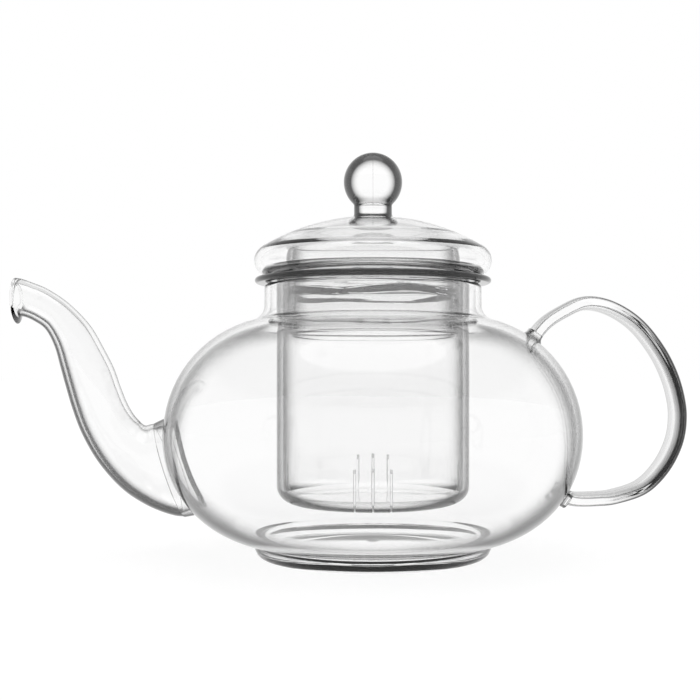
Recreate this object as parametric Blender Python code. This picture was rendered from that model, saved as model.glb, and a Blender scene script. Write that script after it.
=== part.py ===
"""Glass teapot with a lift-out glass infuser and a glass lid.

The pot is a blown bulb with a drawn spout and a bent handle fused to its sides. The infuser
is a cup with a wide flange that hangs on the pot's rim, and the lid's plug drops into the cup.
The upright axis of the pot is Z, the table is at Z = 0, the spout points to -X and the
handle to +X. Every length is in metres.
"""

import math

import bmesh
import bpy
from mathutils import Vector

MM = 0.001

# Driving dimensions
FIT_GAP = 0.3 * MM  # left between pieces that touch
GLASS_IOR = 1.47  # borosilicate

CROWN_RADIUS = 29.7 * MM  # of the highest and lowest rings of the rounded side
BULGE_DEPTH = 39.2 * MM  # how far the rounded side swells out from the crown
SHOULDER_RISE = 39.0 * MM  # from the widest part up to the crown
BELLY_DROP = 36.8 * MM  # from the widest part down to the lowest of the rounded side
BELLY_LIFT = 3.6 * MM  # lowest of the rounded side above the table
BELLY_SQUARENESS = 2.1  # 2 is an ellipse, more is squarer
BULB_WALL = 2.0 * MM
FOOT_RADIUS = 39.4 * MM  # at the crease
FOOT_RING_RADIUS = 36.3 * MM  # edge of the flat that stands on the table
NECK_RADIUS = 36.0 * MM
NECK_FILLET = 5.0 * MM
NECK_LENGTH = 6.8 * MM  # straight part above the fillet

CUP_CLEARANCE = 2.0 * MM  # between the infuser cup and the neck's bore
CUP_WALL = 2.0 * MM
CUP_CORNER_ROUND = 6.0 * MM
CUP_FLOOR_HEIGHT = 17.0 * MM  # underside of the cup above the table
FLANGE_THICKNESS = 2.0 * MM
FLANGE_OVERHANG = 3.2 * MM  # past the outside of the neck

SLIT_WIDTH = 0.9 * MM
SLIT_SPACING = 5.6 * MM
SLIT_HEIGHT = 14.5 * MM  # above the underside of the cup
SLIT_REACH = 7.5 * MM  # how far the saw cuts in from the outside of the cup
SLITS_IN_GROUP = 3
SLIT_GROUPS = 4

LID_OVERHANG = 0.2 * MM  # of the lid's rolled edge past the flange
LID_EDGE_ROUND = 5.2 * MM
LID_WALL = 2.2 * MM
DOME_ROUND = 71.0 * MM  # radius of the lid's dome
PLUG_CLEARANCE = 1.3 * MM  # between the plug and the cup's bore
PLUG_WALL = 1.9 * MM
PLUG_DEPTH = 18.3 * MM  # below the flange's top

KNOB_RADIUS = 9.75 * MM
STEM_RADIUS = 6.3 * MM
STEM_FLARE = 1.6 * MM  # spread of the stem where it meets the dome
KNOB_RISE = 11.7 * MM  # middle of the ball above the top of the dome

SPOUT_TURN = math.radians(-18.0)  # of the spout's root, below the widest part
SPOUT_ROOT_HEIGHT = 32.6 * MM
SPOUT_ROOT_WIDTH = 24.0 * MM
SPOUT_WALL = 1.6 * MM
SEAM_FACE = 0.3 * MM  # the seam's outer face, out from where the spout's middle line meets the bulb
SEAM_PROUD = 0.5 * MM  # how far the seam stands proud of the spout

HANDLE_TOP_TURN = math.radians(54.0)  # of the handle's upper root, above the widest part
HANDLE_BOTTOM_TURN = math.radians(-34.0)
HANDLE_THICKNESS = 4.8 * MM
HANDLE_WIDTH = 13.0 * MM
WELD_THICKNESS = 2.4 * MM
WELD_LEAN = 0.3 * MM  # taller pad, because the handle meets the bulb aslant
WELD_SPREAD = 1.1 * MM  # of the pad past the handle's edge where it meets the bulb

# The side view of the spout beyond its root, as pairs of points on its upper and lower edges.
# Each pair is (out along -X, up) from the middle of the spout's root on the bulb, and the last
# number is the spout's width over its height there.
SPOUT_EDGES = (
    ((6.9, 15.1), (-1.4, -15.3), 0.74),
    ((8.6, 14.7), (3.5, -13.8), 0.79),
    ((9.9, 15.2), (8.9, -11.3), 0.86),
    ((11.0, 16.3), (14.9, -7.4), 0.92),
    ((12.3, 17.7), (20.3, -2.2), 0.96),
    ((13.6, 19.6), (25.4, 4.4), 1.0),
    ((15.3, 22.9), (29.8, 12.4), 1.0),
    ((17.3, 28.0), (32.8, 20.3), 1.0),
    ((19.3, 33.6), (35.2, 28.4), 1.0),
    ((22.3, 39.6), (36.8, 34.2), 1.0),
    ((27.2, 48.0), (38.7, 40.8), 1.0),
    ((34.1, 55.2), (41.7, 46.5), 1.0),
    ((40.9, 59.9), (45.6, 49.4), 1.0),
    ((46.2, 62.2), (49.2, 50.9), 1.0),
    ((49.9, 63.5), (50.6, 50.4), 1.0),
    ((52.2, 63.9), (51.5, 48.0), 1.0),
)

# The middle line of the handle from its lower root to its upper one: (share of the way up
# between the roots, distance out along X from the line that joins them).
HANDLE_LINE = (
    (-0.01, 3.6),
    (-0.01, 11.6),
    (0.005, 18.0),
    (0.065, 27.4),
    (0.19, 35.2),
    (0.35, 41.0),
    (0.51, 43.8),
    (0.66, 44.2),
    (0.80, 43.1),
    (0.93, 40.7),
    (1.06, 36.7),
    (1.15, 31.8),
    (1.21, 25.5),
    (1.22, 18.8),
    (1.165, 11.6),
    (1.09, 5.0),
)

# Fineness
AROUND = 44  # facets round a turned piece
KNOB_AROUND = 24
SIDE_STEPS = 14
FOOT_STEPS = 4
FILLET_STEPS = 3
SPOUT_SIDES = 20
SPOUT_STEPS = 18
HANDLE_SIDES = 12
HANDLE_STEPS = 34

# Places worked out from the driving dimensions
WAIST_HEIGHT = BELLY_LIFT + BELLY_DROP  # of the widest part
CUP_RADIUS = NECK_RADIUS - BULB_WALL - CUP_CLEARANCE
FLANGE_RADIUS = NECK_RADIUS + FLANGE_OVERHANG
PLUG_RADIUS = CUP_RADIUS - CUP_WALL - PLUG_CLEARANCE
LID_RADIUS = FLANGE_RADIUS + LID_OVERHANG
ROOT_REACH = 4 * BULB_WALL  # of the seam and the bore to either side of the bulb's skin


# ---------------------------------------------------------------- shaping tools


def clear_scene():
    for thing in list(bpy.data.objects):
        bpy.data.objects.remove(thing, do_unlink=True)


def clear_glass(name, tint):
    """A clear glass finish with a slight tint."""
    glass = bpy.data.materials.new(name)
    glass.use_nodes = True
    shader = glass.node_tree.nodes["Principled BSDF"]
    shader.inputs["Base Color"].default_value = (*tint, 1.0)
    shader.inputs["Roughness"].default_value = 0.02
    shader.inputs["Metallic"].default_value = 0.0
    shader.inputs["IOR"].default_value = GLASS_IOR
    shader.inputs["Transmission Weight"].default_value = 1.0
    glass.diffuse_color = (*tint, 0.5)
    return glass


def add_mesh(name, points, faces, finish=None):
    """A new object from points and faces, with its faces turned outwards and smoothed."""
    mesh = bpy.data.meshes.new(name)
    mesh.from_pydata([tuple(point) for point in points], [], faces)
    work = bmesh.new()
    work.from_mesh(mesh)
    bmesh.ops.remove_doubles(work, verts=work.verts, dist=1e-7)
    bmesh.ops.recalc_face_normals(work, faces=work.faces)
    work.to_mesh(mesh)
    work.free()
    mesh.shade_smooth()
    mesh.set_sharp_from_angle(angle=math.radians(40))
    thing = bpy.data.objects.new(name, mesh)
    bpy.context.collection.objects.link(thing)
    if finish:
        mesh.materials.append(finish)
    return thing


def arc(centre, radius, start, end, steps):
    """Points (across, up) on an arc from one angle to another, in degrees."""
    points = []
    for step in range(steps + 1):
        angle = math.radians(start + (end - start) * step / steps)
        points.append((centre[0] + radius * math.cos(angle), centre[1] + radius * math.sin(angle)))
    return points


def turned(name, outline, finish=None, around=AROUND):
    """A piece turned on the upright axis: a closed outline of (radius, height) points."""
    points = []
    faces = []
    count = len(outline)
    for turn in range(around):
        angle = 2 * math.pi * turn / around
        for radius, height in outline:
            points.append((radius * math.cos(angle), radius * math.sin(angle), height))
    for turn in range(around):
        here = turn * count
        there = (turn + 1) % around * count
        for i in range(count):
            j = (i + 1) % count
            corners = [here + i, here + j, there + j, there + i]
            if outline[i][0] == 0.0 and outline[j][0] == 0.0:
                continue
            if outline[i][0] == 0.0:
                corners = [here + i, here + j, there + j]
            if outline[j][0] == 0.0:
                corners = [here + i, here + j, there + i]
            faces.append(corners)
    return add_mesh(name, points, faces, finish)


def smooth_line(points, steps):
    """Evenly numbered points on a Catmull-Rom curve through the given ones, ends included."""
    rows = [Vector(point) for point in points]
    rows = [2 * rows[0] - rows[1]] + rows + [2 * rows[-1] - rows[-2]]
    spans = len(rows) - 3
    line = []
    for step in range(steps + 1):
        place = step / steps * spans
        span = min(int(place), spans - 1)
        t = place - span
        a, b, c, d = rows[span : span + 4]
        bend = (2 * a - 5 * b + 4 * c - d) * t * t
        swing = (3 * b - a - 3 * c + d) * t * t * t
        line.append((2 * b + (c - a) * t + bend + swing) / 2)
    return line


def lofted(name, rings, finish=None, closed=False):
    """A skin over rings of points. It is capped at both ends, or closed on itself."""
    points = [point for ring in rings for point in ring]
    size = len(rings[0])
    spans = len(rings) if closed else len(rings) - 1
    faces = []
    for span in range(spans):
        here = span * size
        there = (span + 1) % len(rings) * size
        for i in range(size):
            j = (i + 1) % size
            faces.append([here + i, here + j, there + j, there + i])
    if not closed:
        faces.append(list(range(size)))
        faces.append(list(range(len(points) - size, len(points))))
    return add_mesh(name, points, faces, finish)


def cut_with(piece, cutter, operation="DIFFERENCE"):
    """A Boolean with a hidden cutter."""
    cutter.hide_render = True
    cutter.display_type = "WIRE"
    boolean = piece.modifiers.new(cutter.name, "BOOLEAN")
    boolean.operation = operation
    boolean.solver = "EXACT"
    boolean.object = cutter


# ---------------------------------------------------------------- the pot


def side_point(turn, offset=0.0):
    """A point (out, up) on the bulb's rounded side, moved out square to the side by an offset.

    The turn is 0 at the widest part, a right angle at the crown and minus that at the bottom.
    """
    lift, power = (SHOULDER_RISE, 2.0) if turn > 0 else (BELLY_DROP, BELLY_SQUARENESS)
    out = max(math.cos(turn), 0.0)
    up = abs(math.sin(turn))
    point = Vector((BULGE_DEPTH * out ** (2 / power), lift * up ** (2 / power)))
    square = Vector((out ** (2 - 2 / power) / BULGE_DEPTH, up ** (2 - 2 / power) / lift))
    point += square.normalized() * offset
    return Vector((CROWN_RADIUS + point.x, WAIST_HEIGHT + math.copysign(point.y, turn)))


def side_square(turn):
    """The direction (out, up) square to the bulb's side."""
    return (side_point(turn, MM) - side_point(turn)).normalized()


def turn_at_radius(radius, offset, end):
    """The turn between the widest part and an end at which the offset side has a radius."""
    wide, narrow = 0.0, end
    for _ in range(50):
        middle = (wide + narrow) / 2
        if side_point(middle, offset).x > radius:
            wide = middle
        else:
            narrow = middle
    return wide


def side_line(offset, start, end, steps):
    """Points down or up the bulb's side between two turns."""
    turns = [start + (end - start) * step / steps for step in range(steps + 1)]
    return [tuple(side_point(turn, offset)) for turn in turns]


def neck_fillet():
    """The turn at which the shoulder leaves the side, and the fillet's centre."""
    turn = turn_at_radius(NECK_RADIUS + NECK_FILLET, NECK_FILLET, math.pi / 2)
    return turn, side_point(turn, NECK_FILLET)


def rim_height():
    return neck_fillet()[1].y + NECK_LENGTH


def make_bulb(finish):
    """The blown body: pressed foot, rounded side, shoulder and straight neck, open at the top."""
    crease = turn_at_radius(FOOT_RADIUS, 0.0, -math.pi / 2)
    crease_height = side_point(crease).y
    foot_spread = FOOT_RADIUS - FOOT_RING_RADIUS
    foot = [(0.0, 0.0)]
    for step in range(FOOT_STEPS):
        angle = math.pi / 2 * step / FOOT_STEPS
        across = FOOT_RING_RADIUS + foot_spread * math.sin(angle)
        foot.append((across, crease_height * (1 - math.cos(angle))))
    shoulder, centre = neck_fillet()
    leaving = math.degrees(math.atan2(*side_square(shoulder).yx)) + 180
    outside = foot + side_line(0.0, crease, shoulder, SIDE_STEPS)
    outside += arc(centre, NECK_FILLET, leaving, 180, FILLET_STEPS)[1:]
    lip_round = BULB_WALL / 2
    lip = arc((NECK_RADIUS - lip_round, rim_height() - lip_round), lip_round, 0, 180, 4)
    inside = arc(centre, NECK_FILLET + BULB_WALL, 180, leaving, FILLET_STEPS)
    floor_edge = turn_at_radius(FOOT_RING_RADIUS + foot_spread / 3, -BULB_WALL, -math.pi / 2)
    inside += side_line(-BULB_WALL, shoulder, floor_edge, SIDE_STEPS)[1:]
    inside += [(FOOT_RING_RADIUS - BULB_WALL, BULB_WALL), (0.0, BULB_WALL)]
    bulb = turned("pot_bulb", outside + lip + inside, finish)
    bore_ends = [root_oval(-ROOT_REACH, SPOUT_WALL), root_oval(ROOT_REACH, SPOUT_WALL)]
    cut_with(bulb, lofted("spout_bore_cutter", bore_ends))
    return bulb


def bulb_envelope(name, offset):
    """A solid of the bulb's rounded side grown by an offset, which trims what is fused to it."""
    side = side_line(offset, -math.pi / 2, math.pi / 2, 3 * SIDE_STEPS)
    return turned(name, [(0.0, side[0][1])] + side + [(0.0, side[-1][1])])


def oval(middle, half_height, half_width, sides):
    """An oval ring round a middle, with its height along a vector and its width along Y."""
    ring = []
    for side in range(sides):
        angle = 2 * math.pi * (side + 0.5) / sides
        tall = half_height * math.cos(angle)
        ring.append(middle + tall + Vector((0.0, half_width * math.sin(angle), 0.0)))
    return ring


def spout_oval(row, inset):
    """The spout's section at one row of its side view: upper edge, lower edge and width share."""
    top = Vector((-row[0], 0.0, row[1]))
    bottom = Vector((-row[2], 0.0, row[3]))
    half = (top - bottom).length / 2
    up = (top - bottom).normalized()
    return oval((top + bottom) / 2, up * (half - inset), half * row[4] - inset, SPOUT_SIDES)


def root_row(face):
    """The row of the spout's side view on a face square to its root, out from the bulb."""
    out = side_square(SPOUT_TURN)
    middle = side_point(SPOUT_TURN) + out * face
    up = Vector((-out.y, out.x)) * SPOUT_ROOT_HEIGHT / 2
    return (*(middle + up), *(middle - up), SPOUT_ROOT_WIDTH / SPOUT_ROOT_HEIGHT)


def root_oval(face, inset):
    return spout_oval(root_row(face), inset)


def spout_rings(inset):
    """Ovals along the spout from its root to its mouth."""
    root = side_point(SPOUT_TURN)
    rows = [root_row(SEAM_FACE + FIT_GAP)]
    for upper, lower, share in SPOUT_EDGES:
        top = root + Vector(upper) * MM
        bottom = root + Vector(lower) * MM
        rows.append((*top, *bottom, share))
    return [spout_oval(row, inset) for row in smooth_line(rows, SPOUT_STEPS)]


def make_spout(finish):
    """The drawn spout: a tapered swan neck that opens into a flared lip."""
    return lofted("spout", spout_rings(0.0) + spout_rings(SPOUT_WALL)[::-1], finish, closed=True)


def make_spout_seam(finish):
    """The thick ring of glass that joins the spout's root to the bulb."""
    rings = [root_oval(-ROOT_REACH, -SEAM_PROUD), root_oval(SEAM_FACE, -SEAM_PROUD)]
    rings += [root_oval(SEAM_FACE, SPOUT_WALL), root_oval(-ROOT_REACH, SPOUT_WALL)]
    seam = lofted("spout_seam", rings, finish, closed=True)
    cut_with(seam, bulb_envelope("seam_cutter", FIT_GAP))
    return seam


def handle_line():
    """The handle's middle line from the lower root to the upper one, both inside the bulb."""
    low = side_point(HANDLE_BOTTOM_TURN)
    rise = side_point(HANDLE_TOP_TURN) - low
    line = [side_point(HANDLE_BOTTOM_TURN, -WELD_THICKNESS)]
    for share, out in HANDLE_LINE:
        line.append(low + rise * share + Vector((out * MM, 0.0)))
    line.append(side_point(HANDLE_TOP_TURN, -WELD_THICKNESS))
    return smooth_line(line, HANDLE_STEPS)


def make_handle(finish):
    """The solid handle: a flat oval rod bent to a loop, its ends trimmed to meet the welds."""
    line = handle_line()
    rings = []
    for i, place in enumerate(line):
        along = (line[min(i + 1, len(line) - 1)] - line[max(i - 1, 0)]).normalized()
        thick = Vector((-along.y, 0.0, along.x)) * HANDLE_THICKNESS / 2
        rings.append(oval(Vector((place.x, 0.0, place.y)), thick, HANDLE_WIDTH / 2, HANDLE_SIDES))
    handle = lofted("handle", rings, finish)
    cut_with(handle, bulb_envelope("handle_cutter", FIT_GAP + WELD_THICKNESS + FIT_GAP))
    return handle


def make_weld(name, turn, finish):
    """The pad of glass between one end of the handle and the bulb, wider at the bulb."""
    out = side_square(turn)
    up = Vector((-out.y, 0.0, out.x))
    rings = []
    for reach, spread in ((-2, WELD_SPREAD), (0, WELD_SPREAD), (2, 0.0)):
        place = side_point(turn, reach * WELD_THICKNESS)
        half_height = HANDLE_THICKNESS / 2 + WELD_LEAN + spread
        half_width = HANDLE_WIDTH / 2 + spread
        rings.append(oval(Vector((place.x, 0.0, place.y)), up * half_height, half_width, HANDLE_SIDES))
    weld = lofted(name, rings, finish)
    cut_with(weld, bulb_envelope(name + "_inner_cutter", FIT_GAP))
    cut_with(weld, bulb_envelope(name + "_outer_cutter", FIT_GAP + WELD_THICKNESS), "INTERSECT")
    return weld


# ---------------------------------------------------------------- the infuser


def flange_bottom():
    return rim_height() + FIT_GAP


def flange_top():
    return flange_bottom() + FLANGE_THICKNESS


def lid_seat():
    return flange_top() + FIT_GAP


def make_infuser_cup(finish):
    """The infuser's straight cup with a rounded bottom corner, open at the top."""
    corner = (CUP_RADIUS - CUP_CORNER_ROUND, CUP_FLOOR_HEIGHT + CUP_CORNER_ROUND)
    outside = [(0.0, CUP_FLOOR_HEIGHT)] + arc(corner, CUP_CORNER_ROUND, -90, 0, 5)
    top = [(CUP_RADIUS, flange_top()), (CUP_RADIUS - CUP_WALL, flange_top())]
    inside = arc(corner, CUP_CORNER_ROUND - CUP_WALL, 0, -90, 4)
    inside += [(0.0, CUP_FLOOR_HEIGHT + CUP_WALL)]
    cup = turned("infuser_cup", outside + top + inside, finish)
    cut_with(cup, slit_saws())
    return cup


def slit_saws():
    """The saw cuts: groups of upright slits round the cup's bottom corner."""
    points = []
    faces = []
    low = CUP_FLOOR_HEIGHT - 1 * MM
    high = CUP_FLOOR_HEIGHT + SLIT_HEIGHT
    near = CUP_RADIUS - SLIT_REACH
    far = CUP_RADIUS + 1 * MM
    sides = ((0, 1, 3, 2), (4, 6, 7, 5), (0, 4, 5, 1), (2, 3, 7, 6), (0, 2, 6, 4), (1, 5, 7, 3))
    for group in range(SLIT_GROUPS):
        angle = 2 * math.pi * group / SLIT_GROUPS
        out = Vector((math.cos(angle), math.sin(angle), 0.0))
        along = Vector((-math.sin(angle), math.cos(angle), 0.0))
        for slit in range(SLITS_IN_GROUP):
            middle = (slit - (SLITS_IN_GROUP - 1) / 2) * SLIT_SPACING
            first = len(points)
            for reach in (near, far):
                for shift in (middle - SLIT_WIDTH / 2, middle + SLIT_WIDTH / 2):
                    for height in (low, high):
                        points.append(out * reach + along * shift + Vector((0.0, 0.0, height)))
            faces += [[first + corner for corner in side] for side in sides]
    return add_mesh("slit_cutter", points, faces)


def make_infuser_flange(finish):
    """The wide flange round the cup's mouth, which rests on the pot's rim."""
    inner = CUP_RADIUS + FIT_GAP
    edge = FLANGE_THICKNESS / 2
    rim = arc((FLANGE_RADIUS - edge, flange_bottom() + edge), edge, -90, 90, 4)
    return turned("infuser_flange", [(inner, flange_bottom())] + rim + [(inner, flange_top())], finish)


# ---------------------------------------------------------------- the lid


def dome_centre():
    """Height of the centre of the dome's round, so that the dome runs into the rolled edge."""
    edge_centre = (LID_RADIUS - LID_EDGE_ROUND, lid_seat() + LID_EDGE_ROUND)
    reach = DOME_ROUND - LID_EDGE_ROUND
    return edge_centre[1] - math.sqrt(reach**2 - edge_centre[0] ** 2)


def dome_height(radius, depth=0.0):
    """Height of the dome's skin at a radius, or of a surface a depth below it."""
    return dome_centre() + math.sqrt((DOME_ROUND - depth) ** 2 - radius**2)


def make_lid_dome(finish):
    """The lid's shallow dome with its rolled edge, open underneath."""
    edge_centre = (LID_RADIUS - LID_EDGE_ROUND, lid_seat() + LID_EDGE_ROUND)
    meeting = math.degrees(math.acos(edge_centre[0] / (DOME_ROUND - LID_EDGE_ROUND)))
    centre = (0.0, dome_centre())
    outside = arc(edge_centre, LID_EDGE_ROUND, -110, meeting, 7)
    outside += arc(centre, DOME_ROUND, meeting, 90, 6)[1:-1] + [(0.0, dome_height(0.0))]
    inside = [(0.0, dome_height(0.0, LID_WALL))]
    inside += arc(centre, DOME_ROUND - LID_WALL, 90, meeting, 6)[1:]
    inside += arc(edge_centre, LID_EDGE_ROUND - LID_WALL, meeting, -110, 4)
    return turned("lid_dome", outside + inside, finish)


def make_lid_plug(finish):
    """The lid's long locating tube, fused under the dome."""
    bore = PLUG_RADIUS - PLUG_WALL
    bottom = flange_top() - PLUG_DEPTH
    lip_round = PLUG_WALL / 2
    lip = arc((PLUG_RADIUS - lip_round, bottom + lip_round), lip_round, 180, 360, 4)
    depth = LID_WALL + FIT_GAP
    top = [(PLUG_RADIUS, dome_height(PLUG_RADIUS, depth)), (bore, dome_height(bore, depth))]
    return turned("lid_plug", lip + top, finish)


def make_lid_knob(finish):
    """The solid ball knob on a short stem that spreads where it meets the dome."""
    centre_height = dome_height(0.0) + KNOB_RISE
    join = math.degrees(math.asin(STEM_RADIUS / KNOB_RADIUS))
    foot_radius = STEM_RADIUS + STEM_FLARE
    foot_height = dome_height(foot_radius) + FIT_GAP
    flare = arc((foot_radius, foot_height + STEM_FLARE), STEM_FLARE, -90, -180, 3)
    ball = arc((0.0, centre_height), KNOB_RADIUS, -90 + join, 90, 11)
    base = []
    for share in (0.0, 0.5):
        radius = foot_radius * share
        base.append((radius, dome_height(radius) + FIT_GAP))
    outline = base + flare + ball[:-1] + [(0.0, centre_height + KNOB_RADIUS)]
    return turned("lid_knob", outline, finish, KNOB_AROUND)


# ---------------------------------------------------------------- assembly


def placed_on(name, parent, height, pieces):
    """An empty on the upright axis at a height, which carries the pieces that lift with it."""
    carrier = bpy.data.objects.new(name, None)
    bpy.context.collection.objects.link(carrier)
    carrier.location = (0.0, 0.0, height)
    carrier.parent = parent
    if parent:
        carrier.location.z -= parent.location.z
    for piece in pieces:
        piece.parent = carrier
        piece.location.z = -height
    return carrier


def main():
    clear_scene()
    pot_glass = clear_glass("pot glass", (0.96, 0.97, 0.97))
    seam_glass = clear_glass("fused seam glass", (0.90, 0.92, 0.92))
    infuser_glass = clear_glass("infuser glass", (0.94, 0.95, 0.95))
    lid_glass = clear_glass("lid glass", (0.95, 0.96, 0.96))
    make_bulb(pot_glass)
    make_spout(pot_glass)
    make_spout_seam(seam_glass)
    make_handle(pot_glass)
    make_weld("handle_lower_weld", HANDLE_BOTTOM_TURN, seam_glass)
    make_weld("handle_upper_weld", HANDLE_TOP_TURN, seam_glass)
    cup = make_infuser_cup(infuser_glass)
    flange = make_infuser_flange(infuser_glass)
    dome = make_lid_dome(lid_glass)
    plug = make_lid_plug(lid_glass)
    knob = make_lid_knob(lid_glass)
    infuser = placed_on("infuser_lift", None, flange_bottom(), [cup, flange])
    placed_on("lid_lift", infuser, lid_seat(), [dome, plug, knob])


main()
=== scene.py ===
"""A clear glass teapot with a hanging glass infuser and a glass lid.

The sections follow the order in which the pot is put together: bulb, spout and its seam, handle
and its two pads, infuser cup and flange, lid dome, plug and knob. The table, the light and the
camera come last.
"""

import math

import bpy
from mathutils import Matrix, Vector


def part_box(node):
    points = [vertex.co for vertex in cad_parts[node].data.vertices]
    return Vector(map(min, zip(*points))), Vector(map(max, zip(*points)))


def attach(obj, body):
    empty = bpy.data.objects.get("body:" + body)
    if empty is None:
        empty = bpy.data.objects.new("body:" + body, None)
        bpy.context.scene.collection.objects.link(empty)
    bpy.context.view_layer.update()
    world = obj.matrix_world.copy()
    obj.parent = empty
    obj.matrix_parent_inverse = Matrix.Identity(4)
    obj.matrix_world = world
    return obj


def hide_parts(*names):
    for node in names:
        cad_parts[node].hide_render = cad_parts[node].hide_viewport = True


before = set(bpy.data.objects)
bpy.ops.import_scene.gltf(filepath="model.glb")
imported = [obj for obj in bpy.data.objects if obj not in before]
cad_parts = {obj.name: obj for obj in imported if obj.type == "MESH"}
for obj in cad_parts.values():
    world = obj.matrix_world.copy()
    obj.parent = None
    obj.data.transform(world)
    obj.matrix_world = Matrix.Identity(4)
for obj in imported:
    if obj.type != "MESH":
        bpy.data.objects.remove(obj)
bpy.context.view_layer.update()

# ---------------------------------------------------------------- bulb
# The pot's body: borosilicate tube blown into a turned mould, with a pressed foot below and a
# straight neck above. The rim is fire-polished, so its edge is round. A hole in the side is
# melted through where the spout joins.

MM = 0.001
AROUND = 288  # facets round a turned piece
ARC_STEPS = 24  # steps along an arc or another short curve
CRISP_EDGE = math.radians(35)  # an edge that bends more than this stays crisp
FUSED = 0.06 * MM  # how far pieces melted together reach into each other

bulb_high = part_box("pot_bulb")[1]
BULB_RADIUS = bulb_high.x
BULGE_DEPTH = 39.2 * MM
CROWN_RADIUS = BULB_RADIUS - BULGE_DEPTH
SHOULDER_RISE = 39.0 * MM
BELLY_DROP = 36.8 * MM
WAIST_HEIGHT = 40.4 * MM
BELLY_SQUARENESS = 2.1
BULB_WALL = 2.0 * MM
FOOT_RADIUS = 39.4 * MM
FOOT_RING_RADIUS = 36.3 * MM
FOOT_PUNT = 1.2 * MM  # rise of the pushed-up middle of the underside
PUNT_RADIUS = FOOT_RING_RADIUS * 0.92
PUNT_STEPS = 12
FLOOR_THICKER = 0.2 * MM  # how much thicker than the wall the floor is
BOWL_START_OUT = 2.0 * MM  # where the side starts to run into the floor, out from the foot
SLOPE_TURN = 0.02  # how far back up the side its slope is read, in radians
LEVEL_FLOOR_RADIUS = FOOT_RING_RADIUS * 0.4
NECK_RADIUS = 36.0 * MM
NECK_FILLET = 5.0 * MM
RIM_HEIGHT = bulb_high.z
CORNER_SOFTNESS = 0.5 * MM  # a flame rounds every corner at least this much


def side_point(turn, offset=0.0):
    """A point (out, up) on the bulb's side at a turn above the waist, moved out square to it."""
    lift, power = (SHOULDER_RISE, 2.0) if turn > 0 else (BELLY_DROP, BELLY_SQUARENESS)
    out = max(math.cos(turn), 0.0)
    up = abs(math.sin(turn))
    point = Vector((BULGE_DEPTH * out ** (2 / power), lift * up ** (2 / power)))
    square = Vector((out ** (2 - 2 / power) / BULGE_DEPTH, up ** (2 - 2 / power) / lift))
    point += square.normalized() * offset
    return Vector((CROWN_RADIUS + point.x, WAIST_HEIGHT + math.copysign(point.y, turn)))


def side_square(turn):
    """The direction (out, up) square to the bulb's side."""
    return (side_point(turn, MM) - side_point(turn)).normalized()


def turn_at_radius(radius, offset, end):
    """The turn between the waist and an end at which the offset side has a radius."""
    wide, narrow = 0.0, end
    for _ in range(50):  # halvings, far finer than the mesh
        middle = (wide + narrow) / 2
        if side_point(middle, offset).x > radius:
            wide = middle
        else:
            narrow = middle
    return wide


def side_line(offset, start, end, steps=90):
    """Points along the bulb's side between two turns."""
    turns = [start + (end - start) * step / steps for step in range(steps + 1)]
    return [tuple(side_point(turn, offset)) for turn in turns]


def arc(centre, radius, start, end, steps=ARC_STEPS):
    """Points (across, up) on an arc between two angles in degrees."""
    angles = [math.radians(start + (end - start) * step / steps) for step in range(steps + 1)]
    return [(centre[0] + radius * math.cos(a), centre[1] + radius * math.sin(a)) for a in angles]


def softened(outline, closed=True, spacing=0.25 * MM):
    """The outline with evenly spaced points and its corners rounded, as by a flame.

    An open outline starts and ends on the axis, where it stays level.
    """
    points = [Vector(point) for point in outline]
    ends = points + [points[0]] if closed else points
    even = [points[0]]
    spare = 0.0
    for a, b in zip(ends, ends[1:]):
        length = (b - a).length
        reach = spacing - spare
        while reach <= length and length > 0:
            even.append(a.lerp(b, reach / length))
            reach += spacing
        spare = length - (reach - spacing)
    passes = int((CORNER_SOFTNESS / spacing) ** 2)
    for _ in range(passes):
        inner = [(a + 2 * b + c) / 4 for a, b, c in zip(even, even[1:], even[2:])]
        ends = [even[0].copy(), even[-1].copy()]
        for end, beside in zip(ends, (even[1], even[-2])):
            if not closed:
                end.y = (end.y + beside.y) / 2
        even = [ends[0]] + inner + [ends[1]]
    return thinned(even)


def thinned(points, bend=math.radians(2.5), reach=3 * MM):
    """The points that a line needs, so that it bends no more than a little at each."""
    kept = [points[0]]
    for point, after in zip(points[1:], points[2:]):
        way, onward = point - kept[-1], after - point
        if onward.length and (way.angle(onward, 0.0) > bend or way.length > reach):
            kept.append(point)
    return [tuple(point) for point in kept + [points[-1]]]


def mesh_piece(name, points, faces):
    """A smooth piece with crisp edges, from points and faces that are turned outwards."""
    mesh = bpy.data.meshes.new(name)
    mesh.from_pydata([tuple(point) for point in points], [], faces)
    mesh.shade_smooth()
    mesh.set_sharp_from_angle(angle=CRISP_EDGE)
    piece = bpy.data.objects.new(name, mesh)
    bpy.context.scene.collection.objects.link(piece)
    return piece


def turned(name, outline, around=AROUND):
    """A piece turned on the upright axis from an outline (radius, height), given anticlockwise.

    The outline starts and ends on the axis, or it is closed on itself.
    """
    solid = outline[0][0] < 1e-7 and outline[-1][0] < 1e-7
    ring = outline[1:-1] if solid else outline
    count = len(ring)
    points = []
    for turn in range(around):
        angle = 2 * math.pi * (turn + 0.5) / around
        points += [(r * math.cos(angle), r * math.sin(angle), z) for r, z in ring]
    faces = []
    for turn in range(around):
        here = turn * count
        there = (turn + 1) % around * count
        for i in range(count - 1 if solid else count):
            j = (i + 1) % count
            faces.append((here + i, there + i, there + j, here + j))
    if solid:
        first, last = len(points), len(points) + 1
        points += [(0.0, 0.0, outline[0][1]), (0.0, 0.0, outline[-1][1])]
        for turn in range(around):
            here = turn * count
            there = (turn + 1) % around * count
            faces.append((first, there, here))
            faces.append((last, here + count - 1, there + count - 1))
    return mesh_piece(name, points, faces)


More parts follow.
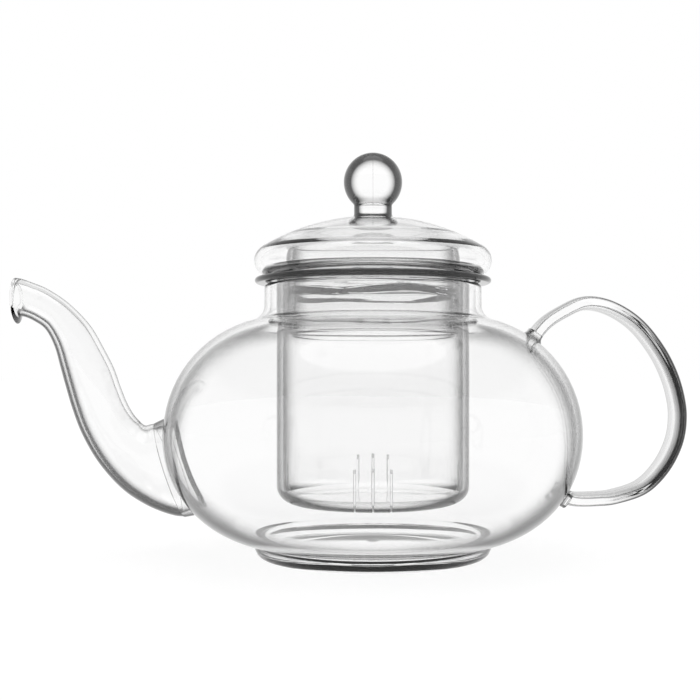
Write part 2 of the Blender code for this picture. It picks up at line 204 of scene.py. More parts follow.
def linear(colour):
    """A linear colour with alpha from an sRGB hex value."""
    parts = [int(colour[i : i + 2], 16) / 255 for i in (1, 3, 5)]
    return [p / 12.92 if p <= 0.04045 else ((p + 0.055) / 1.055) ** 2.4 for p in parts] + [1.0]


def add_node(tree, kind, settings=None, links=None):
    """A node with its settings (by property or input name) and its links (input: output socket)."""
    node = tree.nodes.new(kind)
    for name, value in (settings or {}).items():
        if name in node.inputs:
            node.inputs[name].default_value = value
        else:
            setattr(node, name, value)
    for name, socket in (links or {}).items():
        tree.links.new(socket, node.inputs[name])
    return node


GLASS_IOR = 1.47  # borosilicate
WAVE_SHIFT = (0.37, 0.61, 0.23)  # keeps the noise's own grid off the pot's middle


def clear_glass(name, body, edge, painted_shade_span, wave_mm, wave_depth_mm, painted_shade_side=(0.0, 0.0, 0.0)):
    """Clear borosilicate glass, with painted shade where it is seen along its skin, which stands in
    for the darker room that real glass shows near its outline.

    The span after edge, the painted shade's colour, is how far the skin has turned away, from 0
    to 1, where the painted shade begins and where it is full. wave_mm is (around, upright), the
    lengths of the faint waves in the skin. Skin that faces the way of the last argument gets the
    painted shade sooner, by that vector's length: painted shade on one side, as if less light fell
    there. A piece may carry its own painted shade attribute at its points: how much sooner the
    painted shade comes there.
    """
    glass = bpy.data.materials.new(name)
    glass.use_nodes = True
    tree = glass.node_tree
    tree.nodes.clear()
    place = add_node(tree, "ShaderNodeTexCoord")
    scale = (1 / (wave_mm[0] * MM), 1 / (wave_mm[0] * MM), 1 / (wave_mm[1] * MM))
    spread = add_node(
        tree,
        "ShaderNodeMapping",
        {"Scale": scale, "Location": WAVE_SHIFT},
        {"Vector": place.outputs["Object"]},
    )
    waves = add_node(
        tree,
        "ShaderNodeTexNoise",
        {"Scale": 1.0, "Detail": 1.5, "Roughness": 0.4},
        {"Vector": spread.outputs["Vector"]},
    )
    skin = add_node(
        tree,
        "ShaderNodeBump",
        {"Strength": 1.0, "Distance": wave_depth_mm * MM},
        {"Height": waves.outputs["Fac"]},
    )
    facing = add_node(tree, "ShaderNodeLayerWeight", {"Blend": 0.5})
    shape = add_node(tree, "ShaderNodeNewGeometry")
    # Painted shade on one side: skin that faces the given direction darkens sooner, as if less light
    # fell on it.
    side_shade = add_node(
        tree, "ShaderNodeVectorMath", {"operation": "DOT_PRODUCT"}, {"Vector": shape.outputs["Normal"]}
    )
    side_shade.inputs[1].default_value = painted_shade_side
    # Painted shade that a piece carries at its points.
    painted_shade = add_node(tree, "ShaderNodeAttribute", {"attribute_name": "painted_shade"})
    turned_away = facing.outputs["Facing"]
    for sooner in (side_shade.outputs["Value"], painted_shade.outputs["Fac"]):
        total = add_node(tree, "ShaderNodeMath", {"operation": "ADD"})
        tree.links.new(turned_away, total.inputs[0])
        tree.links.new(sooner, total.inputs[1])
        turned_away = total.outputs[0]
    # Painted shade: the colour turns from the glass's own to the dark edge colour as the skin turns
    # away.
    edge_shade = add_node(tree, "ShaderNodeValToRGB", None, {"Fac": turned_away})
    ramp = edge_shade.color_ramp
    ramp.interpolation = "EASE"
    ramp.elements[0].position = painted_shade_span[0]
    ramp.elements[0].color = linear(body)
    ramp.elements[1].position = painted_shade_span[1]
    ramp.elements[1].color = linear(edge)
    shader = add_node(
        tree,
        "ShaderNodeBsdfPrincipled",
        {"Roughness": 0.0, "IOR": GLASS_IOR, "Transmission Weight": 1.0},
        {"Base Color": edge_shade.outputs["Color"], "Normal": skin.outputs["Normal"]},
    )
    # A lamp shines straight through the glass, so that it throws almost no shadow.
    clear = add_node(tree, "ShaderNodeBsdfTransparent", {"Color": linear("#fdfdfd")})
    path = add_node(tree, "ShaderNodeLightPath")
    through = add_node(tree, "ShaderNodeMixShader")
    tree.links.new(path.outputs["Is Shadow Ray"], through.inputs[0])
    tree.links.new(shader.outputs[0], through.inputs[1])
    tree.links.new(clear.outputs[0], through.inputs[2])
    add_node(tree, "ShaderNodeOutputMaterial", None, {"Surface": through.outputs[0]})
    return glass


def paint_shade(piece, values):
    """Writes a piece's painted shade attribute from a value for each point, or a rule of each point's
    place.
    """
    if callable(values):
        values = [values(vertex.co) for vertex in piece.data.vertices]
    field = piece.data.attributes.new("painted_shade", "FLOAT", "POINT")
    field.data.foreach_set("value", values)


def place(piece, body, node, slot, glass):
    """Gives a finished piece its glass, if it has none, and its body, and hides the modelled node that
    it stands for.
    """
    if not piece.data.materials:
        piece.data.materials.append(glass)
    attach(piece, body)
    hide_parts(node)


# Blown glass is clear where it is looked straight through. Long faint waves run round it from
# the turning in the mould. Painted shade darkens it close to its outline, and sooner where its
# skin faces down, as if lit from above.
blown_glass = clear_glass(
    "blown borosilicate glass", "#fcfcfc", "#080808", (0.56, 0.84), (40, 9), 0.05, (0.0, 0.0, -0.1)
)

crease_turn = turn_at_radius(FOOT_RADIUS, 0.0, -math.pi / 2)
crease_height = side_point(crease_turn).y
foot_spread = FOOT_RADIUS - FOOT_RING_RADIUS
foot = []
for step in range(PUNT_STEPS + 1):
    share = step / PUNT_STEPS
    foot.append((PUNT_RADIUS * share, FOOT_PUNT * (1 + math.cos(math.pi * share)) / 2))
for step in range(ARC_STEPS):
    angle = math.pi / 2 * step / ARC_STEPS
    across = FOOT_RING_RADIUS + foot_spread * math.sin(angle)
    foot.append((across, crease_height * (1 - math.cos(angle))))

shoulder_turn = turn_at_radius(NECK_RADIUS + NECK_FILLET, NECK_FILLET, math.pi / 2)
fillet_centre = side_point(shoulder_turn, NECK_FILLET)
leaving = math.degrees(math.atan2(*side_square(shoulder_turn).yx)) + 180
lip_round = BULB_WALL / 2
lip = arc((NECK_RADIUS - lip_round, RIM_HEIGHT - lip_round), lip_round, 0, 180)

# Inside, the side runs smoothly into the level floor. The crease of the foot is only outside.
floor_height = BULB_WALL + FLOOR_THICKER
floor_turn = turn_at_radius(FOOT_RADIUS + BOWL_START_OUT, -BULB_WALL, -math.pi / 2)
bowl_start = side_point(floor_turn, -BULB_WALL)
just_above = side_point(floor_turn + SLOPE_TURN, -BULB_WALL)
bowl_slope = bowl_start - just_above
bowl_corner = bowl_start + bowl_slope * (bowl_start.y - floor_height) / -bowl_slope.y
bowl_end = Vector((LEVEL_FLOOR_RADIUS, floor_height))
bowl = []
for step in range(1, ARC_STEPS + 1):
    share = step / ARC_STEPS
    down, level = bowl_start.lerp(bowl_corner, share), bowl_corner.lerp(bowl_end, share)
    bowl.append(tuple(down.lerp(level, share)))

bulb_outline = foot
bulb_outline += side_line(0.0, crease_turn, shoulder_turn)
bulb_outline += arc(fillet_centre, NECK_FILLET, leaving, 180)[1:]
bulb_outline += lip
bulb_outline += arc(fillet_centre, NECK_FILLET + BULB_WALL, 180, leaving)
bulb_outline += side_line(-BULB_WALL, shoulder_turn, floor_turn)[1:]
bulb_outline += bowl + [(0.0, floor_height)]
bulb = turned("blown_bulb", softened(bulb_outline, closed=False))

# ---------------------------------------------------------------- spout
# A tube drawn out in the flame, bent to a swan neck and cut, and its end flared to a lip that
# hooks down so that the last drop falls clear. It is oval at the root and round further on.

SPOUT_TURN = math.radians(-18.0)
SPOUT_ROOT_HEIGHT = 32.6 * MM
SPOUT_ROOT_WIDTH = 24.0 * MM
SPOUT_WALL = 1.6 * MM
SPOUT_STEPS = 440
SPOUT_SIDES = 128
LIP_WALL = 2.5 * MM  # the flame gathers the cut end to a bead
LIP_STEPS = 12  # steps over the round of the lip
LIP_BULGE = 0.35  # how round the lip is, from 0 for flat to 1 for a half circle
LIP_ROWS = 8  # how many steps of the spout's line the bead takes
LIP_ROOM = 6  # how many steps of the spout's line are left for the round of the lip
SEAM_FACE = 0.45 * MM  # where the spout meets its seam, out from the bulb's skin
HOLE_REACH = 8.0 * MM  # how far the hole and the seam reach into the bulb, and the hole out of it
UPPER_LESS_SHADE = 0.1  # how much later the painted shade comes on the spout's upper side
LOWER_PAINTED_SHADE = 0.23  # how much sooner it comes on its lower side
LIP_FADE = 3 * SPOUT_WALL  # the length over which both fade out at the lip
FOOT_LESS_SHADE = 0.7  # how much later the painted shade comes on the bulb's thick foot
SHOULDER_LESS_SHADE = 0.2  # how much later it comes on its thin shoulder
SHOULDER_START = 0.4  # where that starts, as a share of the shoulder's rise

# Drawn glass has shorter waves than blown glass. Painted shade darkens it in a broader band,
# most of all along the spout's lower side.
spout_glass = clear_glass("flame-drawn spout glass", "#fcfcfc", "#060606", (0.42, 0.76), (14, 20), 0.05)
# Its side view: (out, up) in mm of the upper edge and of the lower edge from the middle of the
# root, and the width over the height.
SPOUT_EDGES = (
    ((6.9, 15.1), (-1.4, -15.3), 0.74),
    ((8.6, 14.7), (3.5, -13.8), 0.79),
    ((9.9, 15.2), (8.9, -11.3), 0.86),
    ((11.0, 16.3), (14.9, -7.4), 0.92),
    ((12.3, 17.7), (20.3, -2.2), 0.96),
    ((13.6, 19.6), (25.4, 4.4), 1.0),
    ((15.3, 22.9), (29.8, 12.4), 1.0),
    ((17.3, 28.0), (32.8, 20.3), 1.0),
    ((19.3, 33.6), (35.2, 28.4), 1.0),
    ((22.3, 39.6), (36.8, 34.2), 1.0),
    ((27.2, 48.0), (38.7, 40.8), 1.0),
    ((34.1, 55.2), (41.7, 46.5), 1.0),
    ((40.9, 59.9), (45.6, 49.4), 1.0),
    ((46.2, 62.2), (49.2, 50.9), 1.0),
    ((49.9, 63.5), (50.6, 50.4), 1.0),
    ((52.2, 63.9), (51.5, 48.0), 1.0),
)


def smooth_line(points, steps):
    """Evenly numbered points on a Catmull-Rom curve through the given ones, ends included."""
    rows = [Vector(point) for point in points]
    rows = [2 * rows[0] - rows[1]] + rows + [2 * rows[-1] - rows[-2]]
    spans = len(rows) - 3
    line = []
    for step in range(steps + 1):
        place = step / steps * spans
        span = min(int(place), spans - 1)
        t = place - span
        a, b, c, d = rows[span : span + 4]
        bend = (2 * a - 5 * b + 4 * c - d) * t * t
        swing = (3 * b - a - 3 * c + d) * t * t * t
        line.append((2 * b + (c - a) * t + bend + swing) / 2)
    return line


def lofted(name, rings, closed=False):
    """A skin over rings of points, capped at both ends or closed on itself."""
    points = [point for ring in rings for point in ring]
    size = len(rings[0])
    faces = []
    for span in range(len(rings) if closed else len(rings) - 1):
        here = span * size
        there = (span + 1) % len(rings) * size
        for i in range(size):
            j = (i + 1) % size
            faces.append((here + i, here + j, there + j, there + i))
    if not closed:
        faces.append(tuple(reversed(range(size))))
        faces.append(tuple(range(len(points) - size, len(points))))
    return mesh_piece(name, points, faces)


def cut(piece, cutter, operation="DIFFERENCE"):
    """Cuts a piece with another, which is used up, and keeps the cut's edges crisp."""
    boolean = piece.modifiers.new("cut", "BOOLEAN")
    boolean.operation = operation
    boolean.solver = "EXACT"
    boolean.object = cutter
    boolean.material_mode = "TRANSFER" if cutter.data.materials else "INDEX"
    seen = piece.evaluated_get(bpy.context.evaluated_depsgraph_get())
    piece.data = bpy.data.meshes.new_from_object(seen)
    piece.modifiers.clear()
    bpy.data.objects.remove(cutter, do_unlink=True)
    piece.data.shade_smooth()
    piece.data.set_sharp_from_angle(angle=CRISP_EDGE)


def clamped(value):
    """The value, kept between 0 and 1."""
    return min(1.0, max(0.0, value))


def oval(middle, half_height, half_width, sides, squareness=2.0):
    """An oval ring round a middle, with its height along a vector and its width along Y.

    A squareness of 2 is an ellipse, and more than that fills out the corners.
    """
    ring = []
    for side in range(sides):
        angle = 2 * math.pi * (side + 0.5) / sides
        up, across = (
            math.copysign(abs(share) ** (2 / squareness), share)
            for share in (math.cos(angle), math.sin(angle))
        )
        ring.append(middle + half_height * up + Vector((0.0, half_width * across, 0.0)))
    return ring


def spout_oval(row, inset):
    """The spout's section at a row (upper edge, lower edge, width over height) of its side view."""
    top = Vector((-row[0], 0.0, row[1]))
    bottom = Vector((-row[2], 0.0, row[3]))
    half = (top - bottom).length / 2
    up = (top - bottom).normalized()
    return oval((top + bottom) / 2, up * (half - inset), half * row[4] - inset, SPOUT_SIDES)


def root_row(face):
    """The row of the side view on a plane square to the root, out from the bulb's skin."""
    out = side_square(SPOUT_TURN)
    middle = side_point(SPOUT_TURN) + out * face
    up = Vector((-out.y, out.x)) * SPOUT_ROOT_HEIGHT / 2
    return (*(middle + up), *(middle - up), SPOUT_ROOT_WIDTH / SPOUT_ROOT_HEIGHT)


root = side_point(SPOUT_TURN)
rows = [root_row(SEAM_FACE - FUSED)]
for upper, lower, share in SPOUT_EDGES:
    rows.append((*(root + Vector(upper) * MM), *(root + Vector(lower) * MM), share))
rows = smooth_line(rows, SPOUT_STEPS)[:-LIP_ROOM]
spout_rings = [spout_oval(row, 0.0) for row in rows]
lip_out = (Vector(rows[-1][:4]) - Vector(rows[-2][:4])).normalized() * LIP_WALL / 2
for step in range(1, LIP_STEPS):
    angle = math.pi * step / LIP_STEPS
    row = Vector(rows[-1][:4]) + lip_out * LIP_BULGE * math.sin(angle)
    spout_rings.append(spout_oval((*row, 1.0), LIP_WALL * (1 - math.cos(angle)) / 2))
for back, row in enumerate(reversed(rows)):
    bead = (LIP_WALL - SPOUT_WALL) * math.exp(-((back / LIP_ROWS) ** 2))
    spout_rings.append(spout_oval(row, SPOUT_WALL + bead))
spout = lofted("drawn_spout", spout_rings, closed=True)
# Painted shade round the section: darker on the lower side, lighter on the upper, faded out at the lip.
section_shade = []
for side in range(SPOUT_SIDES):
    angle = 2 * math.pi * (side + 0.5) / SPOUT_SIDES
    section_shade.append(max(-UPPER_LESS_SHADE, -LOWER_PAINTED_SHADE * math.cos(angle)))
sooner = []
for ring in spout_rings:
    back = (ring[0] - spout_rings[len(rows)][0]).length
    sooner += [value * clamped(back / LIP_FADE) for value in section_shade]
paint_shade(spout, sooner)

hole_ends = [spout_oval(root_row(reach), SPOUT_WALL) for reach in (-HOLE_REACH, HOLE_REACH)]
cut(bulb, lofted("hole", hole_ends))


def bulb_painted_shade(spot):
    """Less painted shade on the thick foot and the thin shoulder than on the belly."""
    foot_share = clamped(2 - spot.z / crease_height)
    shoulder_share = clamped((spot.z - WAIST_HEIGHT) / SHOULDER_RISE - SHOULDER_START)
    return -FOOT_LESS_SHADE * foot_share - SHOULDER_LESS_SHADE * shoulder_share


paint_shade(bulb, bulb_painted_shade)
place(bulb, "pot", "pot_bulb", "pot_glass", blown_glass)
place(spout, "pot", "spout", "pot_glass", spout_glass)

# ---------------------------------------------------------------- spout seam
# The ring of melted glass where the spout was pressed onto the hot bulb. It stands proud all
# round as a soft roll, and its uneven skin bends light more than the blown walls do.

SEAM_PROUD = 0.7 * MM
SEAM_ROLL_START = 0.25  # the roll already stands this share of the way out inside the bulb
SEAM_STEPS = 32
SEAM_BORE_STEPS = 3
TRIM_STEPS = 160

# Glass fused by hand in the flame is lumpy: its short waves break up what is seen through it.
# Painted shade darkens it in a broad band towards its outline.
fused_glass = clear_glass("flame-fused glass", "#f8f8f8", "#0c0c0c", (0.25, 0.7), (7, 7), 0.06)


def sides_grown(name, offset):
    """A solid of the bulb's rounded sides grown by an offset, to trim what is fused to it."""
    side = side_line(offset, -math.pi / 2, math.pi / 2, TRIM_STEPS)
    return turned(name, [(0.0, side[0][1])] + side + [(0.0, side[-1][1])])


seam_rings = []
for step in range(SEAM_STEPS + 1):
    share = step / SEAM_STEPS
    face = -HOLE_REACH + (HOLE_REACH + SEAM_FACE) * share
    swell = SEAM_ROLL_START + (1 - SEAM_ROLL_START) * share
    roll = SEAM_ROLL_START + (1 - SEAM_ROLL_START) * math.sin(math.pi * swell)
    seam_rings.append(spout_oval(root_row(face), -SEAM_PROUD * roll))
seam_rings += [spout_oval(root_row(SEAM_FACE), inset * MM) for inset in (0.3, 0.8, 1.3)]
for step in range(SEAM_BORE_STEPS + 1):
    face = SEAM_FACE - (HOLE_REACH + SEAM_FACE) * step / SEAM_BORE_STEPS
    seam_rings.append(spout_oval(root_row(face), SPOUT_WALL))
seam = lofted("spout_seam_ring", seam_rings, closed=True)
cut(seam, sides_grown("inside of the seam", -FUSED))
place(seam, "pot", "spout_seam", "seam_glass", fused_glass)

# ---------------------------------------------------------------- handle
# A solid flat rod of glass with rounded corners, bent to a loop in the flame and pressed onto
# the bulb at both ends. Being solid, it acts as a lens, which bends the darker room into its
# edges; painted shade darkens the edges further and keeps its middle clear.

HANDLE_TOP_TURN = math.radians(54.0)
HANDLE_BOTTOM_TURN = math.radians(-34.0)
HANDLE_THICKNESS = 4.6 * MM
HANDLE_WIDTH = 13.0 * MM
WELD_THICKNESS = 2.4 * MM
HANDLE_SIDES = 96
HANDLE_STEPS = 520
HANDLE_SQUARENESS = 3.0
ALONG_STEPS = 4  # how many steps either way the rod's direction is read over
ROD_LESS_SHADE = 0.3  # how much later the painted shade comes on the wide faces
NARROW_START = 0.6  # where the narrow faces start, as a share of half the width
NARROW_PAINTED_SHADE = 0.3  # how much sooner it comes on the narrow ones
UPRIGHT_PAINTED_SHADE = 0.45  # how much sooner still where the rod stands upright
UPRIGHT_START = 70.0 * MM
UPRIGHT_SPAN = 25.0 * MM
# Its middle line: (share of the way up between the roots, out along X from the line that joins
# them in mm).
HANDLE_LINE = (
    (-0.01, 3.6),
    (-0.01, 11.6),
    (0.005, 18.0),
    (0.065, 27.4),
    (0.19, 35.2),
    (0.35, 41.0),
    (0.51, 43.8),
    (0.66, 44.2),
    (0.80, 43.1),
    (0.93, 40.7),
    (1.06, 36.7),
    (1.15, 31.8),
    (1.21, 25.5),
    (1.22, 18.8),
    (1.165, 11.6),
    (1.09, 5.0),
)

# A drawn rod has hardly any waves. Its whole thickness bends light, and painted shade makes its
# edges the darkest of all.
rod_glass = clear_glass("drawn borosilicate rod", "#fcfcfc", "#040404", (0.2, 0.7), (30, 30), 0.004)

low = side_point(HANDLE_BOTTOM_TURN)
rise = side_point(HANDLE_TOP_TURN) - low
line = [side_point(HANDLE_BOTTOM_TURN, -WELD_THICKNESS)]
line += [low + rise * share + Vector((out * MM, 0.0)) for share, out in HANDLE_LINE]
line.append(side_point(HANDLE_TOP_TURN, -WELD_THICKNESS))
line = smooth_line(line, HANDLE_STEPS)
rod_rings = []
for i, spot in enumerate(line):
    behind, ahead = line[max(i - ALONG_STEPS, 0)], line[min(i + ALONG_STEPS, HANDLE_STEPS)]
    along = (ahead - behind).normalized()
    thick = Vector((-along.y, 0.0, along.x)) * HANDLE_THICKNESS / 2
    middle = Vector((spot.x, 0.0, spot.y))
    rod_rings.append(oval(middle, thick, HANDLE_WIDTH / 2, HANDLE_SIDES, HANDLE_SQUARENESS))
handle = lofted("bent_handle", rod_rings)
cut(handle, sides_grown("inside of the handle", WELD_THICKNESS - FUSED))


def rod_painted_shade(spot):
    """Painted shade: little on the wide faces, more on the narrow ones where the rod stands upright."""
    narrow = max(0.0, abs(spot.y) / (HANDLE_WIDTH / 2) - NARROW_START) / (1 - NARROW_START)
    upright = clamped((spot.x - UPRIGHT_START) / UPRIGHT_SPAN)
    return -ROD_LESS_SHADE + narrow * (NARROW_PAINTED_SHADE + UPRIGHT_PAINTED_SHADE * upright)


paint_shade(handle, rod_painted_shade)
place(handle, "pot", "handle", "handle_glass", rod_glass)

# ---------------------------------------------------------------- handle pads
# Where each end of the rod was pressed on, a pad of melted glass spreads out over the bulb. Its
# foot is wider than the rod and ends in a thin soft edge.

PAD_SPREAD = 1.4 * MM
PAD_LEAN = 0.3 * MM
PAD_FLARE_START = 0.5 * MM  # how deep in the bulb's skin the foot has its full spread
PAD_STEPS = 32
for turn, node in ((HANDLE_BOTTOM_TURN, "handle_lower_weld"), (HANDLE_TOP_TURN, "handle_upper_weld")):
    out = side_square(turn)
    up = Vector((-out.y, 0.0, out.x))
    pad_rings = []
    for step in range(PAD_STEPS + 1):
        reach = WELD_THICKNESS * (4 * step / PAD_STEPS - 2)  # trimmed at both ends below
        spread = PAD_SPREAD * (1 - clamped((reach + PAD_FLARE_START) / WELD_THICKNESS)) ** 2
        spot = side_point(turn, reach)
        tall = up * (HANDLE_THICKNESS / 2 + PAD_LEAN + spread)
        wide = HANDLE_WIDTH / 2 + spread
        middle = Vector((spot.x, 0.0, spot.y))
        pad_rings.append(oval(middle, tall, wide, HANDLE_SIDES, HANDLE_SQUARENESS))
    pad = lofted(node + "_pad", pad_rings)
    cut(pad, sides_grown("inside of the pad", -FUSED))
    cut(pad, sides_grown("outside of the pad", WELD_THICKNESS), "INTERSECT")
    place(pad, "pot", node, "seam_glass", fused_glass)

# ---------------------------------------------------------------- infuser cup
# A straight tube closed at the bottom with a thick, round-cornered floor. Four groups of three
# slits are sawn through the bottom corner, and the saw leaves their faces matt.

cup_low, cup_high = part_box("infuser_cup")
CUP_RADIUS = cup_high.x
CUP_TOP = cup_high.z
CUP_FLOOR = cup_low.z
CUP_WALL = 2.0 * MM
CUP_CORNER = 6.0 * MM
SLIT_GROUPS = 4
SLIT_SPACING = 5.6 * MM
SLIT_HEIGHT = 14.5 * MM
SLIT_REACH = 7.5 * MM
SLIT_SLOPE = 0.8  # the round saw cuts higher outside than inside
SAW_BELOW = 1.0 * MM  # how far the saw passes below the cup
CORNER_PAINTED_SHADE = 0.3  # how much sooner the painted shade comes on the thick corner
FLOOR_LESS_SHADE = 0.5  # how much later it comes on the flat floor
# The cut seen from above: (out from its inner end, half its width), flared at the skin.
SLIT_PLAN = [
    (reach * MM, half * MM)
    for reach, half in ((0, 0.22), (0, -0.22), (5.6, -0.22), (8.5, -0.7), (8.5, 0.7), (5.6, 0.22))
]

# Drawn tube is the evenest glass here: long waves, and a painted line of shade only along each side.
tube_glass = clear_glass("drawn borosilicate tube", "#fcfcfc", "#080808", (0.42, 0.8), (60, 25), 0.03)

# The sawn faces are ground glass: matt and white, because they scatter what passes.
ground_glass = bpy.data.materials.new("sawn matt glass")
ground_glass.use_nodes = True
ground_glass.node_tree.nodes.clear()
sawn = add_node(
    ground_glass.node_tree,
    "ShaderNodeBsdfPrincipled",
    {"Base Color": linear("#e8e8e8"), "Roughness": 0.6, "IOR": GLASS_IOR, "Transmission Weight": 0.4},
)
add_node(ground_glass.node_tree, "ShaderNodeOutputMaterial", None, {"Surface": sawn.outputs[0]})

corner = (CUP_RADIUS - CUP_CORNER, CUP_FLOOR + CUP_CORNER)
cup_outline = [(0.0, CUP_FLOOR)] + arc(corner, CUP_CORNER, -90, 0)
cup_outline += [(CUP_RADIUS, CUP_TOP), (CUP_RADIUS - CUP_WALL, CUP_TOP)]
cup_outline += arc(corner, CUP_CORNER - CUP_WALL, 0, -90) + [(0.0, CUP_FLOOR + CUP_WALL)]
cup = turned("infuser_tube", softened(cup_outline, closed=False))
blades = []
for group in range(SLIT_GROUPS):
    angle = 2 * math.pi * group / SLIT_GROUPS
    out = Vector((math.cos(angle), math.sin(angle), 0.0))
    along = Vector((-math.sin(angle), math.cos(angle), 0.0))
    for slit in (-1, 0, 1):
        middle = out * (CUP_RADIUS - SLIT_REACH) + along * slit * SLIT_SPACING
        for upper in (False, True):
            for reach, half in SLIT_PLAN:
                tall = SLIT_HEIGHT + (reach - SLIT_REACH) * SLIT_SLOPE if upper else -SAW_BELOW
                spot = middle + out * reach + along * half
                blades.append(spot + Vector((0.0, 0.0, CUP_FLOOR + tall)))
size = len(SLIT_PLAN)
blade_faces = []
for first in range(0, len(blades), 2 * size):
    blade_faces.append([first + i for i in reversed(range(size))])
    blade_faces.append([first + size + i for i in range(size)])
    for i in range(size):
        j = (i + 1) % size
        blade_faces.append((first + i, first + j, first + size + j, first + size + i))
saw = mesh_piece("saw blades", blades, blade_faces)
saw.data.materials.append(ground_glass)
cup.data.materials.append(tube_glass)
cut(cup, saw)


def cup_painted_shade(spot):
    """Painted shade: more on the thick round corner than on the wall, less on the flat floor."""
    low = clamped((CUP_FLOOR + CUP_CORNER - spot.z) / CUP_WALL)
    if math.hypot(spot.x, spot.y) > CUP_RADIUS - CUP_CORNER / 2:
        return CORNER_PAINTED_SHADE * low
    return -FLOOR_LESS_SHADE * low


paint_shade(cup, cup_painted_shade)
place(cup, "infuser", "infuser_cup", "infuser_glass", tube_glass)

# ---------------------------------------------------------------- infuser flange
# The cup's mouth is worked out flat into a wide flange, which hangs on the pot's rim. It is
# solid and seen edge on, and painted shade on its round rim makes it read as a dark band.

flange_low, flange_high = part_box("infuser_flange")
FLANGE_THICKNESS = flange_high.z - flange_low.z
FLANGE_PAINTED_SHADE = 0.9  # how much sooner the painted shade comes on its rim
FLANGE_RIM = 0.55 * FLANGE_THICKNESS  # how far in from its edge the rim goes
edge = FLANGE_THICKNESS / 2
flange_outline = [(CUP_RADIUS - FUSED, flange_low.z)]
flange_outline += arc((flange_high.x - edge, flange_low.z + edge), edge, -90, 90)
flange_outline += [(CUP_RADIUS - FUSED, flange_high.z)]
flange = turned("infuser_collar", flange_outline)


def flange_painted_shade(spot):
    """Painted shade: the round rim is darker than the flat faces."""
    return FLANGE_PAINTED_SHADE if math.hypot(spot.x, spot.y) > flange_high.x - FLANGE_RIM else 0.0


paint_shade(flange, flange_painted_shade)
place(flange, "infuser", "infuser_flange", "infuser_glass", tube_glass)

# ---------------------------------------------------------------- lid dome
# The lid's cover: a shallow dome of blown borosilicate glass. Its edge is rolled in with the
# flame, so that it sits on the flange with a round edge.

dome_low, dome_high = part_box("lid_dome")
LID_RADIUS = 39.4 * MM
LID_EDGE = 5.2 * MM
LID_WALL = 2.2 * MM
LID_ROLL_END = -110  # degrees
DOME_ROUND = 71.0 * MM
DOME_STEPS = 90
ROLL_LESS_SHADE = 0.3  # how much later the painted shade comes on the rolled edge
TOP_LESS_SHADE = 0.6  # how much later it comes on the top
TOP_FADE = 2.0 * MM
# Four soft smudges of painted shade on the dome round the knob:
SHADE_SMUDGES = 4
MARK_START = 0.55  # the larger this is, the shorter each painted smudge of shade
MARK_RADIUS = 23.0 * MM
MARK_SPREAD = 4.0 * MM
SMUDGE_SHADE = 0.35

# The dome is seen at a low angle over most of its width and still stays clear, so its painted
# shade comes more gently than the bulb's.
lid_glass = clear_glass("blown lid glass", "#fcfcfc", "#181818", (0.5, 0.9), (26, 7), 0.06)

edge_centre = (LID_RADIUS - LID_EDGE, dome_low.z + LID_EDGE)
DOME_CENTRE = dome_high.z - DOME_ROUND
meeting = math.degrees(math.acos(edge_centre[0] / (DOME_ROUND - LID_EDGE)))


def dome_height(radius, depth=0.0):
    """Height of the dome's skin at a radius, or of a surface a depth below it."""
    return DOME_CENTRE + math.sqrt((DOME_ROUND - depth) ** 2 - radius**2)


dome_outline = [(0.0, dome_height(0.0, LID_WALL))]
dome_outline += arc((0.0, DOME_CENTRE), DOME_ROUND - LID_WALL, 90, meeting, DOME_STEPS)[1:]
dome_outline += arc(edge_centre, LID_EDGE - LID_WALL, meeting, LID_ROLL_END)
dome_outline += arc(edge_centre, LID_EDGE, LID_ROLL_END, meeting)
dome_outline += arc((0.0, DOME_CENTRE), DOME_ROUND, meeting, 90, DOME_STEPS)[1:]
dome = turned("lid_shell", softened(dome_outline, closed=False))


def dome_painted_shade(spot):
    """Painted shade: little on the level top and rolled edge, apart from four soft painted smudges of
    shade round the knob.
    """
    radius = math.hypot(spot.x, spot.y)
    if radius > edge_centre[0]:
        return -ROLL_LESS_SHADE
    swing = abs(math.sin(SHADE_SMUDGES / 2 * math.atan2(spot.y, spot.x)))
    lobe = max(0.0, swing - MARK_START) / (1 - MARK_START)
    smudge = lobe * math.exp(-(((radius - MARK_RADIUS) / MARK_SPREAD) ** 2))
    top = clamped((edge_centre[0] - radius) / TOP_FADE)
    return SMUDGE_SHADE * smudge - ROLL_LESS_SHADE - (TOP_LESS_SHADE - ROLL_LESS_SHADE) * top


paint_shade(dome, dome_painted_shade)
place(dome, "lid", "lid_dome", "lid_glass", lid_glass)

# ---------------------------------------------------------------- lid plug
# A length of tube melted under the dome, which keeps the lid from falling out when pouring.
# The joint near its top is an uneven roll of glass.

plug_low, plug_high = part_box("lid_plug")
PLUG_RADIUS = plug_high.x
PLUG_WALL = 1.9 * MM
BEAD_HEIGHT = 86.5 * MM
BEAD_PROUD = 0.8 * MM
BEAD_SPAN = 3.0 * MM
BEAD_STEPS = 24
BEAD_UNEVEN = 0.4  # how much of the bead comes and goes on the way round
BEAD_WANDER = 0.5 * MM  # how far it strays up and down
BEAD_STILL = 0.02 * MM  # what stands out less than this isn't moved
BEAD_EDGE = 0.1 * MM  # the bead gets painted shade where it stands out more than this
BEAD_PAINTED_SHADE = 0.75  # how much sooner the painted shade comes on it

